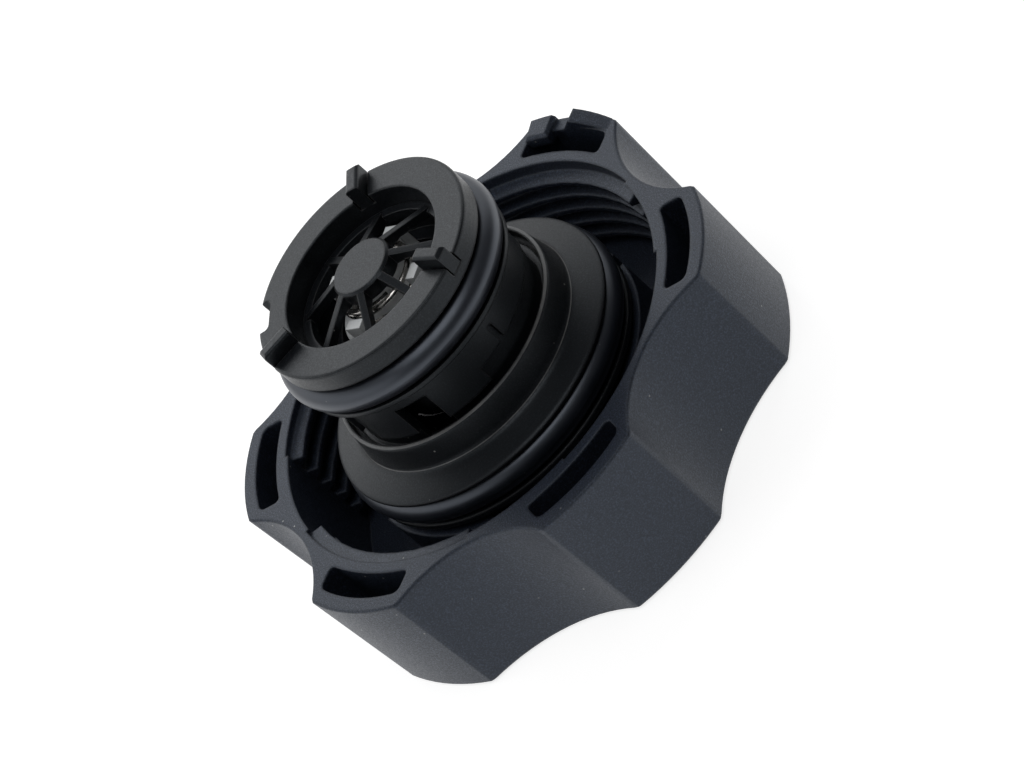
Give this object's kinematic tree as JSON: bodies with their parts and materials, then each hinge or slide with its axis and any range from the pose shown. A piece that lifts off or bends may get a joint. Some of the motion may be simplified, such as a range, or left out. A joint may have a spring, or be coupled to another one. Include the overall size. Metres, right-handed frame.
{
  "type": "reservoir pressure cap",
  "caption": "Screw-on pressure cap for a coolant expansion tank: lobed knob with inner thread around a swivelling sealed plug that holds a pressure valve and a vacuum valve.",
  "frame": {"origin": "middle of the closed face, which the cap stands on with its plug pointing up", "axes": "+Z along the cap's axis from the closed face towards the plug's tip, +X through the crown of a lobe, +Y completes the right-handed set"},
  "size_m": [0.0666, 0.0628, 0.0383],
  "materials": {
    "knob_plastic": "black moulded plastic with a fine satin grain",
    "plug_plastic": "black moulded plastic, smoother than the knob",
    "white_plastic": "natural white plastic",
    "seal_rubber": "black rubber with a soft gloss",
    "spring_steel": "bright drawn spring wire"
  },
  "bodies": {
    "knob": {"knob": "knob_plastic"},
    "plug": {"base_body": "plug_plastic", "valve_body": "plug_plastic", "end_grille": "plug_plastic", "large_seal_ring": "seal_rubber", "small_seal_ring": "seal_rubber", "vacuum_spring": "spring_steel", "pressure_spring": "spring_steel"},
    "pressure_valve": {"pressure_valve": "plug_plastic", "pressure_seal": "seal_rubber"},
    "vacuum_valve": {"vacuum_valve": "white_plastic", "vacuum_seal": "seal_rubber"}
  },
  "joints": [
    {"name": "plug_swivel", "type": "hinge", "parent": "knob", "child": "plug", "pos_m": [0, 0, 0.01], "axis": [0, 0, 1], "continuous": true},
    {"name": "pressure_valve_slide", "type": "slide", "parent": "plug", "child": "pressure_valve", "axis": [0, 0, -1], "range_m": [0, 0.0025], "stiffness_N_per_m": 2100, "springref_m": -0.0125, "deforming": ["pressure_spring", "vacuum_spring"]},
    {"name": "vacuum_valve_slide", "type": "slide", "parent": "pressure_valve", "child": "vacuum_valve", "axis": [0, 0, 1], "range_m": [0, 0.0015], "stiffness_N_per_m": 1800, "springref_m": -0.0006, "deforming": ["vacuum_spring"]}
  ]
}
